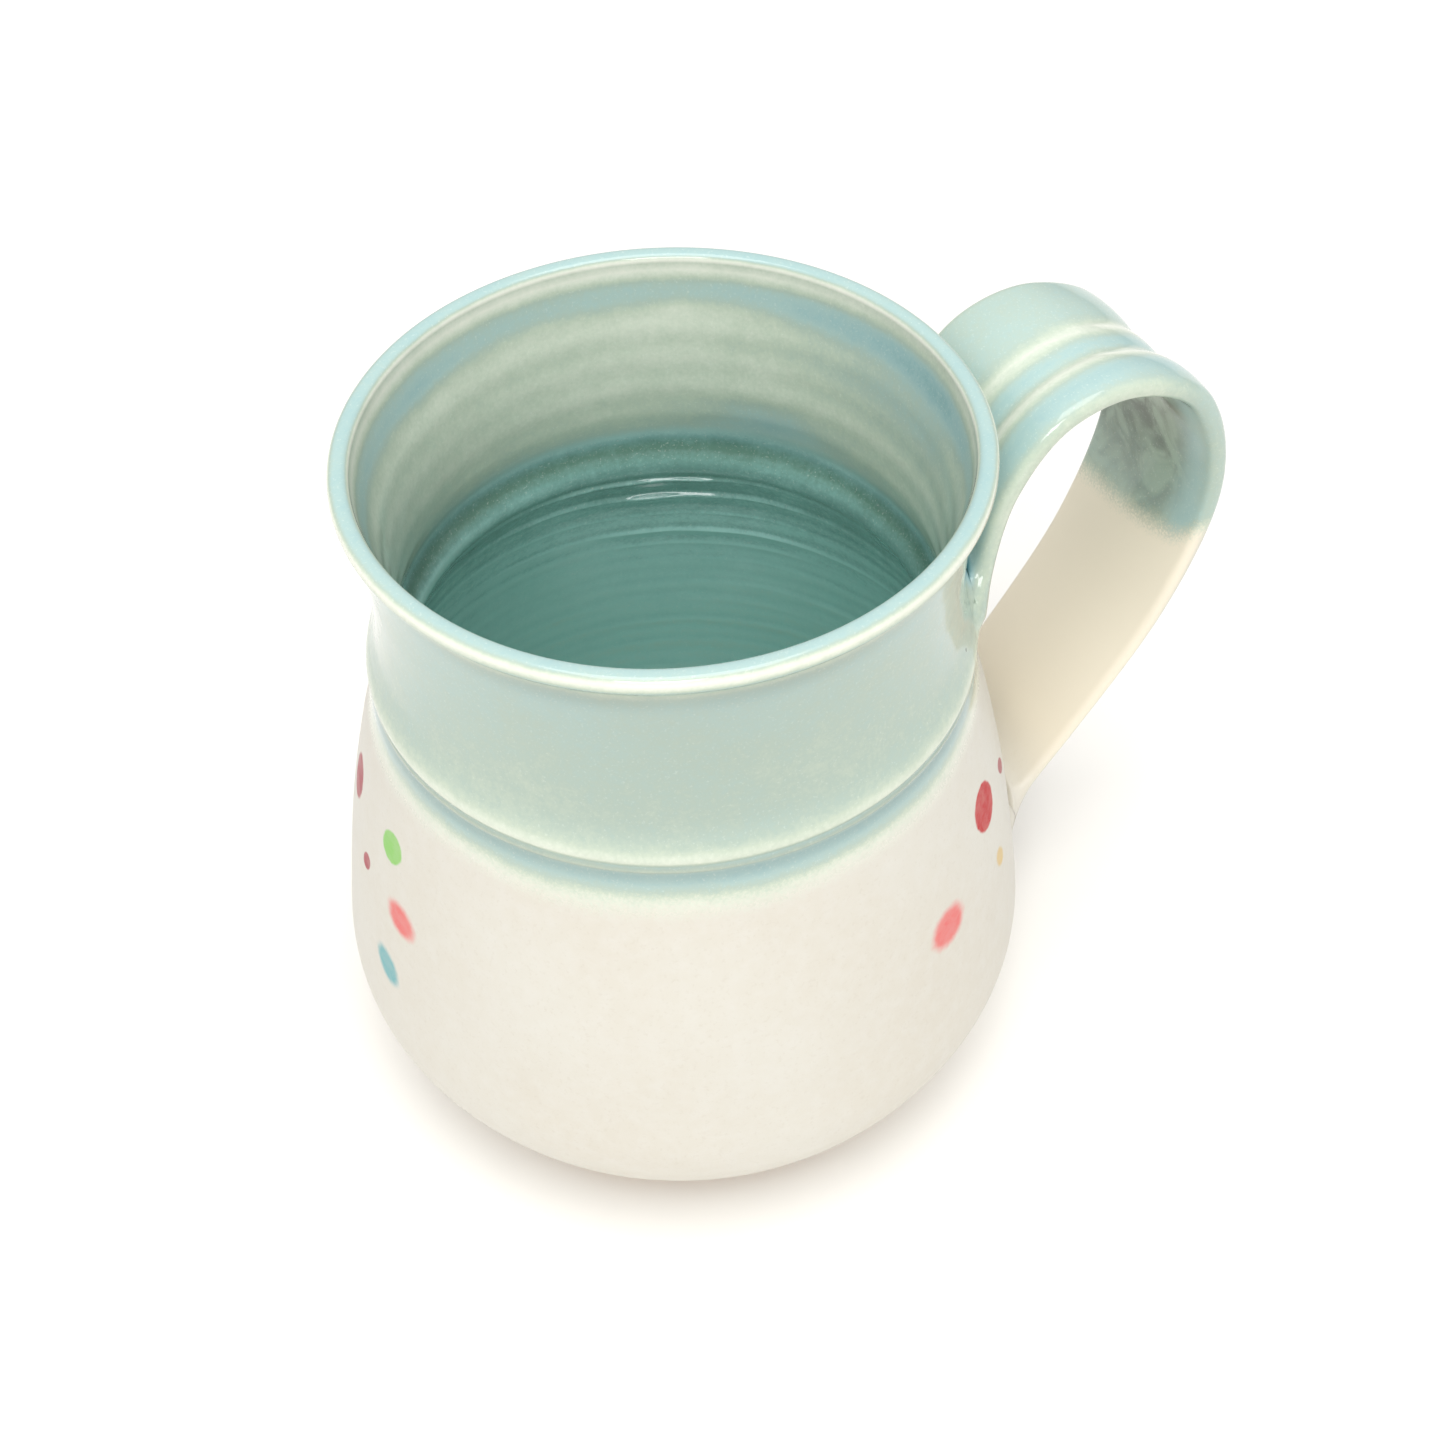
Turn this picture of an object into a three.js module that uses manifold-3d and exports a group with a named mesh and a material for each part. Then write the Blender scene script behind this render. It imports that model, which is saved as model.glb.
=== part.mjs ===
// A hand-thrown stoneware mug with a pulled strap handle, in millimetres, +Z up.
// The origin is the centre of the flat foot, on the table. The handle points along +X.
//
// Pieces, as the potter makes and joins them:
//   thrown_body      the wheel-thrown vessel
//   strap_handle     the pulled, ribbed strap
//   upper_slip_join  soft clay pressed round the strap's upper root
//   lower_slip_join  soft clay pressed round the strap's lower root

import * as THREE from 'three';
import { mergeVertices } from 'three/addons/utils/BufferGeometryUtils.js';
import Module from 'manifold-3d';

const wasm = await Module();
wasm.setup();

// Driving dimensions
const RIM_RADIUS = 40;
const LIP_RADIUS = 1.3;
const HEIGHT = 103.7;
const FOOT_RADIUS = 38;
const FOOT_BEVEL = 1.2;
const BELLY_RADIUS = 49.1;
const BELLY_Z = 19.6;
const GROOVE_Z = 70.8;
const GROOVE_RADIUS = 39.3;
const WAIST_RADIUS = 37.3;
const WAIST_Z = 85.6;
const RIDGE_RADIUS = 34.2;
const INNER_BELLY_RADIUS = 44.8;
const FLOOR_Z = 6.5;
const STRAP_WIDTH = 26.4;
const STRAP_THICKNESS = 3.6;
const RIB_HEIGHT = 0.8;
const ROOT_FLARE = 0.16;
const ROOT_REACH = 12;
const UPPER_JOIN = { x: 36.0, z: 73.8, depth: 4.2, halfWidth: 18.2, halfHeight: 8.2, tilt: 0.12 };
const LOWER_JOIN = { x: 46.3, z: 18.8, depth: 4.0, halfWidth: 18.6, halfHeight: 8.8, tilt: -0.06 };
const GAP = 0.3;

// Fineness of the curved surfaces
const TURN_SEGMENTS = 72;
const STRAP_STEPS = 56;

const LIP_CENTRE = new THREE.Vector2(RIM_RADIUS - LIP_RADIUS, HEIGHT - LIP_RADIUS);

/** A smooth run of points through a few [radius, height] places. */
function smooth(places, divisions) {
  const points = places.map(([radius, z]) => new THREE.Vector2(radius, z));
  return new THREE.SplineCurve(points).getPoints(divisions);
}

/** The lip's round bead, from its outer side over the top to its inner side. */
function lipBead(radius) {
  const bead = new THREE.EllipseCurve(LIP_CENTRE.x, LIP_CENTRE.y, radius, radius, -0.9, Math.PI + 0.7);
  return bead.getPoints(8);
}

/** The outside of the vessel, from the foot's edge up to the lip. */
function outsideOutline() {
  const belly = smooth([
    [FOOT_RADIUS + FOOT_BEVEL, FOOT_BEVEL],
    [42.6, 5.4],
    [46.6, 11.4],
    [BELLY_RADIUS, BELLY_Z],
    [48.1, 29.5],
    [45.6, 44.5],
    [42.6, 57.5],
    [40.4, 65.0],
    [GROOVE_RADIUS + 0.5, GROOVE_Z - 1.4],
  ], 20);
  const groove = [
    new THREE.Vector2(GROOVE_RADIUS, GROOVE_Z),
  ];
  const neck = smooth([
    [GROOVE_RADIUS + 0.5, GROOVE_Z + 1.2],
    [GROOVE_RADIUS - 0.7, GROOVE_Z + 3.8],
    [37.7, 78.6],
    [WAIST_RADIUS, WAIST_Z],
    [37.8, 93.0],
    [38.9, 99.8],
  ], 10);
  return [...belly, ...groove, ...neck];
}

/** The inside of the vessel, from the lip down to the middle of its floor. */
function insideOutline() {
  const neck = smooth([
    [37.3, 100.9],
    [36.1, 97.0],
    [34.9, 91.0],
    [34.4, WAIST_Z - 1],
    [34.8, 78.5],
    [35.3, GROOVE_Z + 3.4],
    [RIDGE_RADIUS, GROOVE_Z],
  ], 10);
  const belly = smooth([
    [RIDGE_RADIUS + 0.7, GROOVE_Z - 1.9],
    [37.6, 62.5],
    [41.0, 50.5],
    [43.6, 36.5],
    [INNER_BELLY_RADIUS, 22.0],
    [42.8, 12.8],
    [36.5, 8.0],
    [26.0, FLOOR_Z + 0.2],
  ], 14);
  return [...neck, ...belly, new THREE.Vector2(0, FLOOR_Z)];
}

/** Turns a closed outline about the vertical axis. */
function turned(outline) {
  const geometry = new THREE.LatheGeometry(outline, TURN_SEGMENTS);
  geometry.rotateX(Math.PI / 2);
  return geometry;
}

/** Moves every point of an outline outwards by a gap, square to the outline. */
function grown(outline, gap) {
  return outline.map((point, i) => {
    const before = outline[Math.max(i - 1, 0)];
    const after = outline[Math.min(i + 1, outline.length - 1)];
    const along = after.clone().sub(before).normalize();
    return new THREE.Vector2(point.x + along.y * gap, point.y - along.x * gap);
  });
}

function bodyGeometry() {
  const foot = [new THREE.Vector2(0, 0), new THREE.Vector2(FOOT_RADIUS, 0)];
  return turned([...foot, ...outsideOutline(), ...lipBead(LIP_RADIUS), ...insideOutline()]);
}

/** The space that the vessel takes from its neighbours: its outside, filled in and grown by the gap. */
function bodyEnvelope() {
  const outline = grown([...outsideOutline(), ...lipBead(LIP_RADIUS).slice(0, 5)], GAP);
  const below = new THREE.Vector2(0, outline[0].y);
  const above = new THREE.Vector2(0, outline[outline.length - 1].y);
  return turned([below, ...outline, above]);
}

/** The strap's middle line, from inside the neck's wall, up and over, and back to the belly. */
const strapPath = new THREE.CatmullRomCurve3([
  new THREE.Vector3(35.4, 0, 70.0),
  new THREE.Vector3(38.4, 0, 76.5),
  new THREE.Vector3(41.6, 0, 88.2),
  new THREE.Vector3(49.3, 0, 96.0),
  new THREE.Vector3(60.3, 0, 97.2),
  new THREE.Vector3(71.4, 0, 90.4),
  new THREE.Vector3(76.0, 0, 74.0),
  new THREE.Vector3(70.6, 0, 54.0),
  new THREE.Vector3(58.5, 0, 34.4),
  new THREE.Vector3(46.6, 0, 18.4),
], false, 'centripetal');

/** Height of the two ribs on the strap's outer face, at a place from -1 (far edge) to 1 (near edge). */
function ribs(place) {
  const rib = (middle) => Math.exp(-(((place - middle) / 0.13) ** 2));
  return RIB_HEIGHT * (rib(0.05) + rib(0.58));
}

/** The strap's section. Its x runs across the strap, and its -y side is the ribbed outer face. */
function strapSection(gap) {
  const count = 22;
  const halfWidth = STRAP_WIDTH / 2 + gap;
  const halfThickness = STRAP_THICKNESS / 2 + gap;
  const face = (side, extra) => Array.from({ length: count }, (_, i) => {
    const place = -side * Math.cos((Math.PI * i) / count);
    const dome = Math.sqrt(1 - Math.abs(place) ** 5);
    return new THREE.Vector2(place * halfWidth, -side * dome * (halfThickness + extra(place)));
  });
  return new THREE.Shape([...face(1, ribs), ...face(-1, () => 0)]);
}

/** Widens the strap towards both roots, where the potter's thumbs spread it. */
function flareRoots(geometry) {
  const position = geometry.getAttribute('position');
  const upper = strapPath.getPoint(0);
  const lower = strapPath.getPoint(1);
  const point = new THREE.Vector3();
  for (let i = 0; i < position.count; i += 1) {
    point.fromBufferAttribute(position, i);
    const fromUpper = Math.hypot(point.x - upper.x, point.z - upper.z);
    const fromLower = Math.hypot(point.x - lower.x, point.z - lower.z);
    const reach = Math.min(fromUpper, fromLower) / ROOT_REACH;
    position.setY(i, point.y * (1 + ROOT_FLARE * Math.exp(-(reach ** 2))));
  }
  return geometry;
}

function strapGeometry(gap) {
  return flareRoots(new THREE.ExtrudeGeometry(strapSection(gap), {
    steps: STRAP_STEPS,
    extrudePath: strapPath,
  }));
}

/** A flattened ball of soft clay, set where a root meets the wall and tilted to lie along it. */
function claySwell({ x, z, depth, halfWidth, halfHeight, tilt }) {
  const geometry = new THREE.SphereGeometry(1, 36, 24);
  geometry.scale(depth, halfWidth, halfHeight);
  geometry.rotateY(tilt);
  geometry.translate(x, 0, z);
  return geometry;
}

/** A three.js geometry as a closed manifold. */
function solid(geometry) {
  const bare = geometry.clone();
  bare.deleteAttribute('normal');
  bare.deleteAttribute('uv');
  const welded = mergeVertices(bare, 1e-4);
  return new wasm.Manifold(new wasm.Mesh({
    numProp: 3,
    vertProperties: new Float32Array(welded.getAttribute('position').array),
    triVerts: new Uint32Array(welded.getIndex().array),
  }));
}

/** A manifold back as a three.js geometry. */
function surface(manifold) {
  const mesh = manifold.getMesh();
  const geometry = new THREE.BufferGeometry();
  geometry.setAttribute('position', new THREE.BufferAttribute(mesh.vertProperties, 3));
  geometry.setIndex(new THREE.BufferAttribute(mesh.triVerts, 1));
  geometry.computeVertexNormals();
  return geometry;
}

const creamStoneware = new THREE.MeshStandardMaterial({ color: 0xf3ecdd, roughness: 0.55, metalness: 0 });
const celadonGlaze = new THREE.MeshStandardMaterial({ color: 0xb8c9bf, roughness: 0.15, metalness: 0 });

const envelope = solid(bodyEnvelope());
const strapSpace = solid(strapGeometry(GAP));

const strap = solid(strapGeometry(0)).subtract(envelope);
const upperJoin = solid(claySwell(UPPER_JOIN)).subtract(envelope).subtract(strapSpace);
const lowerJoin = solid(claySwell(LOWER_JOIN)).subtract(envelope).subtract(strapSpace);

function piece(name, geometry, material) {
  const mesh = new THREE.Mesh(geometry, material);
  mesh.name = name;
  return mesh;
}

const mug = new THREE.Group();
mug.add(piece('thrown_body', bodyGeometry(), creamStoneware));
mug.add(piece('strap_handle', surface(strap), celadonGlaze.clone()));
mug.add(piece('upper_slip_join', surface(upperJoin), celadonGlaze));
mug.add(piece('lower_slip_join', surface(lowerJoin), creamStoneware.clone()));

export default mug;
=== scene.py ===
"""The looks of a hand-thrown stoneware mug: celadon collar and inside, cream belly with dots, ribbed strap.

Blender's lengths are metres. The outlines are drawn in millimetres, as a potter would measure the mug,
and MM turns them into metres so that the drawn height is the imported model's height.
"""

import math

import bpy
import numpy as np
from mathutils import Matrix, Vector


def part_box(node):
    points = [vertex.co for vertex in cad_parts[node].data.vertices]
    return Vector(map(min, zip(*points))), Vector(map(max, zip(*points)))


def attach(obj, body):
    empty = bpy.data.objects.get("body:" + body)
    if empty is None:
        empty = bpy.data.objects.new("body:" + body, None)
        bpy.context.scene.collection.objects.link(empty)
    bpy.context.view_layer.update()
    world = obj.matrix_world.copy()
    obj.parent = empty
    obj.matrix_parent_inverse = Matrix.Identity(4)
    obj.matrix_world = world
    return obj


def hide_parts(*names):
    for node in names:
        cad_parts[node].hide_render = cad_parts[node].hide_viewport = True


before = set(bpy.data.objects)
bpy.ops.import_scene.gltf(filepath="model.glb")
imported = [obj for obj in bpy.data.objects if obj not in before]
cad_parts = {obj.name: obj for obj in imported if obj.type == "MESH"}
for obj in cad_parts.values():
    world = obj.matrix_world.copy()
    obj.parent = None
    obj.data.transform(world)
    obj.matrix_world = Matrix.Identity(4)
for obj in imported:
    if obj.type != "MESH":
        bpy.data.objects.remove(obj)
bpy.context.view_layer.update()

# ---------------------------------------------------------------- driving sizes
body_low, body_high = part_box("thrown_body")

DRAWN_HEIGHT = 103.7
MM = (body_high.z - body_low.z) / DRAWN_HEIGHT

LIP_RADIUS = 1.3
RIM_RADIUS = 40.0
LIP_CENTRE = (RIM_RADIUS - LIP_RADIUS, DRAWN_HEIGHT - LIP_RADIUS)
FOOT_RADIUS = 38.0
FOOT_BEVEL = 1.2
BEVEL_MIDDLE = (0.75, 0.3)  # out from FOOT_RADIUS, and up
DIP_Z = 65.0
BARE_FOOT_Z = 2.6
BARE_FADE = 0.5
STRAP_WIDTH_UPPER = 27.2
STRAP_WIDTH_LOWER = 25.4

TURN_STEPS = 300
PROFILE_STEP = 0.38
GROOVE_STEP = 0.11
INNER_COLLAR_STEP = 0.22
LEDGE_STEP = 0.13
LEDGES_END = 47.0
SPAN_POINTS = 40
LONG_SPAN_POINTS = 60
LIP_POINTS = 56

# Directions round the mug, as angles from the side with the handle.
FACING_HANDLE = 0.0
FACING_FRONT = math.radians(66.5)
FACING_LEFT = math.radians(150.0)
FACING_CAMERA = math.radians(-113.5)

# ---------------------------------------------------------------- camera
LENS = 49.83
SENSOR = 36.0
CAMERA_PLACE = Vector((-74.0, -170.5, 256.3)) * MM
VIEW_DOWN = math.radians(47.53)
VIEW_TURN = math.radians(25.40)
VIEW_ROLL = math.radians(-1.39)
CLIP_START, CLIP_END = 0.01, 20.0


def make_camera():
    """A camera above and in front of the mug, to the left of its handle."""
    data = bpy.data.cameras.new("camera")
    data.lens = LENS
    data.sensor_width = SENSOR
    data.clip_start = CLIP_START
    data.clip_end = CLIP_END
    camera = bpy.data.objects.new("camera", data)
    bpy.context.scene.collection.objects.link(camera)
    turn = Matrix.Rotation(-VIEW_TURN, 4, "Z")
    tilt = Matrix.Rotation(math.pi / 2 - VIEW_DOWN, 4, "X")
    roll = Matrix.Rotation(VIEW_ROLL, 4, "Z")
    camera.matrix_world = Matrix.Translation(CAMERA_PLACE) @ turn @ tilt @ roll
    bpy.context.scene.camera = camera


# ---------------------------------------------------------------- curves
def catmull_rom(places, per_span):
    """Points on a uniform Catmull-Rom curve through a few places; every column is carried along."""
    knots = np.array(places, float)
    ends = np.vstack([2 * knots[0] - knots[1], knots, 2 * knots[-1] - knots[-2]])
    t = np.linspace(0, 1, per_span, endpoint=False)[:, None]
    spans = []
    for i in range(len(knots) - 1):
        a, b, c, d = ends[i:i + 4]
        spans.append(0.5 * (2 * b + (c - a) * t + (2 * a - 5 * b + 4 * c - d) * t ** 2
                            + (3 * b - a - 3 * c + d) * t ** 3))
    return np.vstack(spans + [knots[-1:]])


def even(points, step):
    """The same line with points at an even step, measured in its first two columns."""
    lengths = np.hypot(*np.diff(points[:, :2], axis=0).T)
    along = np.concatenate([[0.0], np.cumsum(lengths)])
    count = max(2, int(round(along[-1] / step)) + 1)
    wanted = np.linspace(0, along[-1], count)
    return np.stack([np.interp(wanted, along, column) for column in points.T], axis=1)


def fade(value, start, end):
    """0 below start, 1 above end, and smooth between them."""
    t = np.clip((value - start) / (end - start), 0, 1)
    return t * t * (3 - 2 * t)


def bump(value, middle, width):
    """1 at the middle, dying away smoothly on both sides of it."""
    return np.exp(-((value - middle) / width) ** 2)


def turned_from(angle, facing):
    """How far round an angle lies from a direction, between half a turn back and half a turn on."""
    return np.angle(np.exp(1j * (angle - facing)))


def wander(seed, *waves):
    """A smooth, closed wobble round the mug: a sum of waves, each [how many round the mug, size]."""
    phases = np.random.default_rng(seed).uniform(0, 2 * math.pi, len(waves))
    return lambda angle: sum(
        size * np.sin(count * angle + phase) for (count, size), phase in zip(waves, phases))


# ---------------------------------------------------------------- the thrown body
# Each place is [radius, height, glaze], where glaze is how deep the celadon lies: -1 where it breaks
# thin over an edge, 0 on a plain wall, and 1 or more where it pools.
BELLY = [
    [FOOT_RADIUS + FOOT_BEVEL, FOOT_BEVEL, 0], [42.6, 5.4, 0], [46.6, 11.4, 0], [49.1, 19.6, 0],
    [48.1, 29.5, 0], [45.6, 44.5, 0], [42.6, 57.5, 0], [40.4, 65.0, -0.2], [39.95, 67.0, 0.0],
    [39.75, 68.7, 0.4], [39.55, 69.9, 0.5],
]
GROOVE = [
    [39.55, 69.9, 0.5], [39.5, 70.35, 0.3], [39.6, 70.8, -0.2], [39.5, 71.15, 0.0], [39.42, 71.45, 0.15],
    [39.58, 71.95, -0.15], [39.75, 72.5, -0.5], [39.68, 73.2, -0.5], [39.35, 74.2, -0.2],
]
COLLAR = [
    [39.35, 74.2, -0.2], [38.7, 75.8, 0.0], [37.8, 79.2, 0.0], [37.3, 85.6, 0.05], [37.6, 93.0, 0.1],
    [38.25, 98.0, 0.2], [38.7, 100.1, -0.25],
]
# Inside, the deep values in the hollow above the ridge are partly pooled glaze and partly painted shade.
INNER_COLLAR = [
    [37.25, 101.6, -0.95], [37.05, 100.6, -0.4], [36.85, 99.6, 0.15], [36.45, 97.9, 0.25],
    [35.9, 95.6, -0.40], [35.2, 92.2, -0.36], [34.7, 88.4, -0.38], [34.4, 84.6, -0.40],
    [34.55, 80.4, -0.28], [35.1, 77.4, -0.05], [35.65, 75.4, 0.6], [35.65, 74.2, 1.2],
    [35.2, 73.1, 1.4], [34.6, 72.1, 1.15], [34.2, 70.9, 0.95], [34.4, 69.4, 0.9], [35.3, 67.6, 0.95],
]
INNER_BELLY = [
    [35.3, 67.6, 0.95], [37.6, 62.5, 0.8], [41.0, 50.5, 0.45], [43.6, 36.5, 0.2], [44.8, 22.0, 0.1],
    [42.8, 12.8, 0.2], [36.5, 8.0, 0.3], [26.0, 6.7, 0.2], [0.0, 6.5, 0.2],
]


def lip_line():
    """The lip: a bead with a flattened top, whose two edges break to cream."""
    start, end = -0.85, math.pi - 0.05
    squareness = 0.80
    angle = np.linspace(start, end, LIP_POINTS)
    cos, sin = np.cos(angle), np.sin(angle)
    radius = LIP_CENTRE[0] + LIP_RADIUS * np.sign(cos) * np.abs(cos) ** squareness
    height = LIP_CENTRE[1] + LIP_RADIUS * np.sign(sin) * np.abs(sin) ** squareness
    outer = bump(angle, 0.30, 0.60)
    inner = bump(angle, 2.85, 0.40)
    glaze = 0.42 - 1.4 * outer - 1.5 * inner
    return np.stack([radius, height, glaze], axis=1)


def outside_line():
    """The outside from the foot's edge to the lip."""
    return np.vstack([
        even(catmull_rom(BELLY, SPAN_POINTS), PROFILE_STEP)[:-1],
        even(catmull_rom(GROOVE, SPAN_POINTS), GROOVE_STEP)[:-1],
        even(catmull_rom(COLLAR, SPAN_POINTS), PROFILE_STEP),
    ])


def inside_line():
    """The inside from the lip to the middle of the floor, with finer rows where the ledges are."""
    belly = even(catmull_rom(INNER_BELLY, LONG_SPAN_POINTS), LEDGE_STEP)
    ledged = belly[:, 1] > LEDGES_END
    return np.vstack([
        even(catmull_rom(INNER_COLLAR, SPAN_POINTS), INNER_COLLAR_STEP)[:-1],
        belly[ledged],
        even(belly[~ledged], PROFILE_STEP),
    ])


OUTSIDE = outside_line()


def wall_radius(height):
    """Radius of the outside of the wall, in drawn millimetres."""
    return np.interp(height, OUTSIDE[:, 1], OUTSIDE[:, 0])


def hand_lean(angle, height):
    """How far the wall is out of true there, as a thrown wall is."""
    return wander(3, (2, 0.10), (3, 0.06), (5, 0.03))(angle) * fade(height, 2.0, 60.0)


def add_mesh(name, vertices, faces, attributes):
    """A smooth-shaded mesh object with float attributes on its points, drawn in millimetres."""
    mesh = bpy.data.meshes.new(name)
    mesh.from_pydata((np.asarray(vertices) * MM).tolist(), [], faces)
    for key, values in attributes.items():
        layer = mesh.attributes.new(key, "FLOAT", "POINT")
        layer.data.foreach_set("value", np.asarray(values, np.float32))
    mesh.shade_smooth()
    mesh.validate()
    obj = bpy.data.objects.new(name, mesh)
    bpy.context.scene.collection.objects.link(obj)
    return obj


def tube_faces(rows, around, flipped=False):
    """Faces of a tube of rings, with a fan to a point at each end; those two points come last."""
    faces = []
    for i in range(rows - 1):
        for j in range(around):
            k = (j + 1) % around
            faces.append((i * around + j, i * around + k, (i + 1) * around + k, (i + 1) * around + j))
    first_point, last_point = rows * around, rows * around + 1
    last_row = (rows - 1) * around
    for j in range(around):
        k = (j + 1) % around
        faces.append((first_point, k, j))
        faces.append((last_point, last_row + j, last_row + k))
    if flipped:
        faces = [(face[0],) + face[:0:-1] for face in faces]
    return faces


# Each finger ring inside the belly: height on the side facing the front, how far its ledge stands in, and
# how tall its shoulder is.
RINGS = [
    (67.0, 0.95, 0.9), (62.4, 1.15, 1.1), (57.2, 0.26, 0.8), (52.9, 0.55, 0.95), (49.3, 0.14, 1.0),
    (45.3, 0.16, 1.2), (39.2, 0.20, 1.4), (34.4, 0.14, 1.4), (29.5, 0.12, 1.5), (24.5, 0.10, 1.5),
    (19.0, 0.10, 1.5),
]
LEDGE_REACH = 1.7
FULLY_IN_CELADON = 30.0  # how far above the dip line the whole inside counts as

# How far each set of finger rings climbs in one turn of the wheel.
COLLAR_PITCH = 4.6
LEDGE_PITCH = 2.4
BELLY_PITCH = 2.9
FLOOR_PITCH = 4.4


def throwing_rings(radius, height, angle):
    """The finger rings, which climb as spirals: how far the inner wall stands in, and its depth of glaze."""
    turned = turned_from(angle, FACING_FRONT)
    lap = turned / (2 * math.pi)
    slow = wander(11, (1, 0.5), (2, 0.3), (5, 0.16), (9, 0.10), (17, 0.06))(angle)
    collar = fade(height, 77.0, 80.0) * fade(-height, -98.0, -93.0)
    collar_wave = np.sin(2 * math.pi * (height + COLLAR_PITCH * lap + slow) / COLLAR_PITCH - 0.9)
    offset = 0.03 * collar * collar_wave
    glaze = -0.05 * collar * collar_wave
    # each ledge is pressed deepest where it faces the front and dies out behind, where its turn ends
    fading = fade(0.5 - np.abs(lap), 0.0, 0.06)
    for place, size, shoulder in RINGS:
        below = place + LEDGE_PITCH * lap + slow - height
        dying = np.exp(-np.maximum(below, 0) / LEDGE_REACH)
        ledge = fade(below, -0.7 * shoulder, 0.3 * shoulder) * dying
        pressed = 0.10 + 0.90 * bump(turned - 0.02 * (place - 60), 0.0, 0.48)
        uneven = 1 + 0.25 * wander(int(place), (5, 0.5), (13, 0.5), (23, 0.4))(angle)
        offset = offset + size * ledge * uneven * fading * pressed
        glaze = glaze + 0.10 * (bump(below, -1.0, 0.8) - bump(below, 0.4, 0.9))
    belly = fade(height, 12.0, 18.0) * fade(-height, -66.0, -58.0)
    belly_wave = np.sin(2 * math.pi * (height + BELLY_PITCH * lap + slow) / BELLY_PITCH)
    offset = offset + 0.025 * belly * belly_wave
    glaze = glaze - 0.06 * belly * belly_wave
    floor = fade(-height, -14.0, -9.5) * fade(radius, 2.0, 8.0)
    floor_wave = np.sin(2 * math.pi * (radius / FLOOR_PITCH + lap + 0.2 * slow))
    offset = offset + 0.07 * floor * floor_wave
    glaze = glaze - 0.09 * floor * floor_wave
    return offset, glaze


def inside_pools(height, angle):
    """Where the celadon inside ran together, and a painted highlight: lighter along the lit side of the ridge
    on the far left.
    """
    around = turned_from(angle, FACING_HANDLE)
    band = wander(17, (1, 0.5), (3, 0.5), (8, 0.3))(angle) * bump(height, 97.0, 1.5) * 0.35
    handle_side = 0.6 * bump(around, 0.05, 0.5) * fade(height, 84.0, 96.0)
    run = 0.8 * bump(around, 0.70, 0.24) * bump(height, 79.5, 3.2)
    far_left = turned_from(angle, FACING_LEFT)
    # painted highlight: the ridge is lighter on the far left, where it is lit
    painted_ridge_highlight = -0.65 * bump(far_left, 0.0, 0.9) * bump(height, 70.6, 1.6)
    return band + handle_side + run + painted_ridge_highlight


def body_attributes(ring, is_inside, turn, height, glaze):
    """The glaze maps of the thrown vessel and its painted shade, each with a value for the middle of the foot
    and of the floor.
    """
    inside_share = is_inside[:, None].astype(float)
    outside_share = 1 - inside_share
    above_dip = np.where(is_inside[:, None], FULLY_IN_CELADON, height - DIP_Z)
    # greener inside the belly: partly thicker glaze, partly painted bounce light
    teal = inside_share * fade(-height, -78.0, -73.0)

    # painted shade: the celadon is darkened in the groove, under the lip, inside on the far left, and on the
    # collar's near side as a painted dark reflection
    from_camera = np.abs(turned_from(turn, FACING_CAMERA))
    collar = fade(height, 73.5, 78.0) * bump(from_camera, 0.0, 0.75)
    groove = bump(height, 70.0, 1.5)
    under_lip = bump(height, 98.8, 1.7) * bump(from_camera, 0.35, 0.5)
    below_lip = outside_share * fade(-height, -101.5, -100.5)
    far_left = turned_from(turn, FACING_LEFT)
    painted_shade_inside = 0.7 * inside_share * bump(far_left, 0.0, 0.8) * fade(-height, -94.0, -82.0)
    painted_shade = painted_shade_inside + below_lip * np.minimum(0.5 * collar + 1.0 * groove + 0.6 * under_lip, 1.3)
    bare = outside_share * fade(-height, -BARE_FOOT_Z - BARE_FADE, -BARE_FOOT_Z)
    return {
        "above_dip": np.append(above_dip.ravel(), [-DIP_Z, FULLY_IN_CELADON]),
        "glaze": np.append(glaze.ravel(), [0.0, ring[-1, 2]]),
        "teal": np.append(teal.ravel(), [0.0, 1.0]),
        "bare": np.append(bare.ravel(), [1.0, 0.0]),
        "painted_shade": np.append(painted_shade.ravel(), [0.0, 0.0]),
    }


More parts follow.
